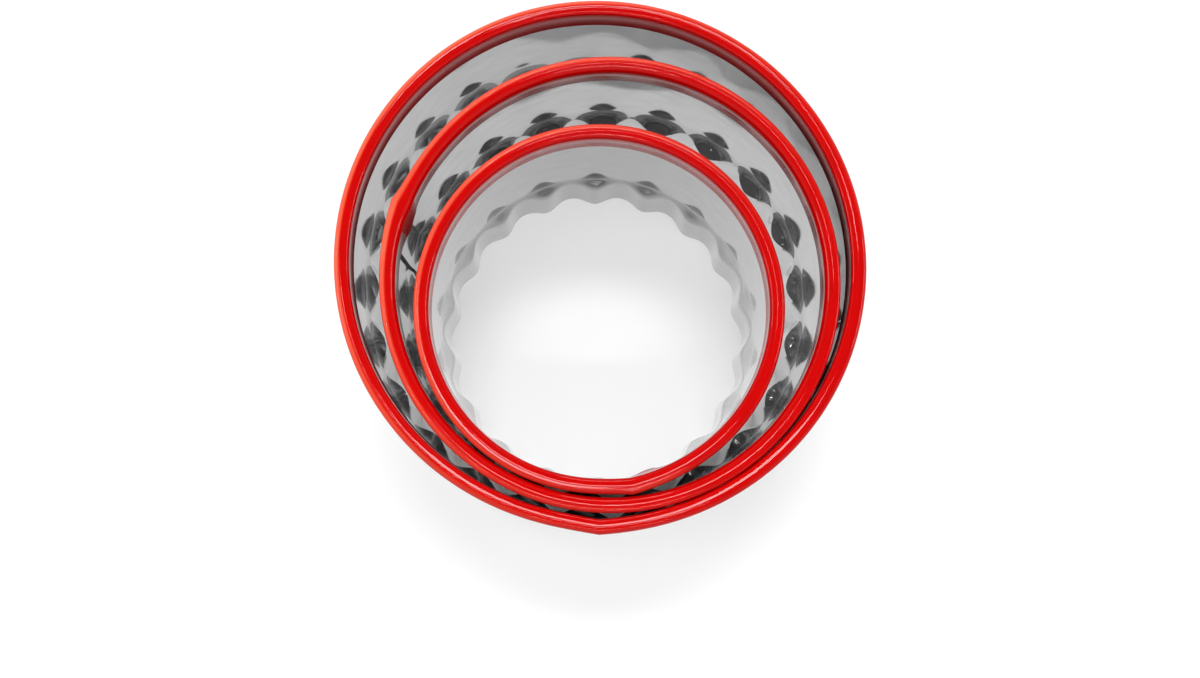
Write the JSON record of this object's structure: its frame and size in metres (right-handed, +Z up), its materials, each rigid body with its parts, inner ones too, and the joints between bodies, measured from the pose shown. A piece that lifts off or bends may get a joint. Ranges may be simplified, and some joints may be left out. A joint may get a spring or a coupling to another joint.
{
  "type": "biscuit cutter set",
  "caption": "Nested crinkle-edged biscuit cutters: round steel bands, plain above and fluted towards the cutting edge, each with a red plastic trim over its top edge.",
  "frame": {"origin": "on the large cutter's axis, in the plane of its cutting edge", "axes": "+Z up from the cutting edges to the red trims, +X to the right and +Y away from the viewer as the nested set is seen from the front"},
  "size_m": [0.078, 0.0787, 0.042],
  "materials": {
    "steel": "bright rolled stainless steel",
    "red_trim": "glossy soft PVC"
  },
  "bodies": {
    "large_cutter": {"large_band": "steel", "large_trim": "red_trim"},
    "middle_cutter": {"middle_band": "steel", "middle_trim": "red_trim"},
    "small_cutter": {"small_band": "steel", "small_trim": "red_trim"}
  },
  "joints": [
    {"name": "middle_lift", "type": "slide", "parent": "large_cutter", "child": "middle_cutter", "axis": [0, 0, 1], "range_m": [0, 0.05]},
    {"name": "small_lift", "type": "slide", "parent": "middle_cutter", "child": "small_cutter", "axis": [0, 0, 1], "range_m": [0, 0.05]}
  ]
}
